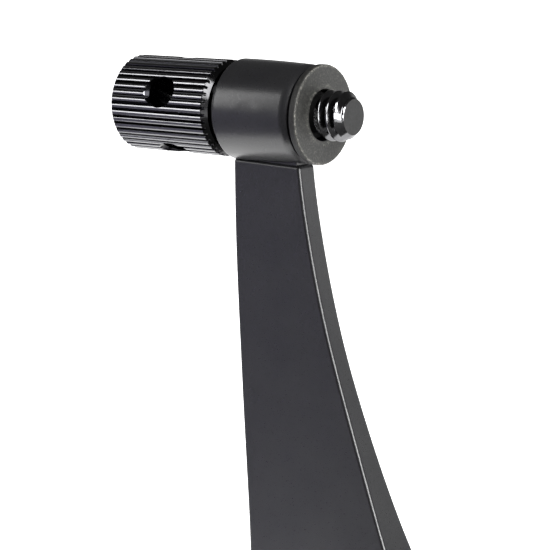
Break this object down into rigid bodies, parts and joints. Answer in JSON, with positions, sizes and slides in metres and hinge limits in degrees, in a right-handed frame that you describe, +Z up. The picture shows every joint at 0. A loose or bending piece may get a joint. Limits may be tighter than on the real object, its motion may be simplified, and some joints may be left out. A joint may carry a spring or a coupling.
{
  "type": "binocular tripod adapter",
  "caption": "Curved upright bracket with a foot that bolts on a tripod and a captive knurled thumb screw that holds binoculars.",
  "frame": {"origin": "centre of the tripod socket's mouth, on the plane that the foot rests on", "axes": "+Z up the arm, +X the way the clamp screw points, so the knob is at -X"},
  "size_m": [0.0682, 0.02, 0.0916],
  "materials": {
    "powder_coat": "fine satin black powder coat",
    "black_chrome": "bright black chrome over a straight knurl",
    "black_steel": "gloss black plated steel",
    "rubber": "fine-grained matt black rubber",
    "acetal": "plain black acetal",
    "bronze": "sintered bronze",
    "steel": "turned stainless steel"
  },
  "bodies": {
    "bracket": {"bracket_arm": "powder_coat", "boss_barrel": "powder_coat", "shank_bush": "bronze", "rubber_washer": "rubber", "tripod_insert": "steel", "foot_pad": "rubber"},
    "slider": {"thrust_washer": "acetal"},
    "thumbscrew": {"clamp_stud": "black_steel", "thumb_knob": "black_chrome", "grub_screw": "black_steel"}
  },
  "joints": [
    {"name": "knob_slide", "type": "slide", "parent": "bracket", "child": "slider", "axis": [-1, 0, 0], "range_m": [0, 0.005]},
    {"name": "knob_spin", "type": "hinge", "parent": "slider", "child": "thumbscrew", "pos_m": [-0.015, 0, 0.085], "axis": [1, 0, 0], "continuous": true}
  ]
}
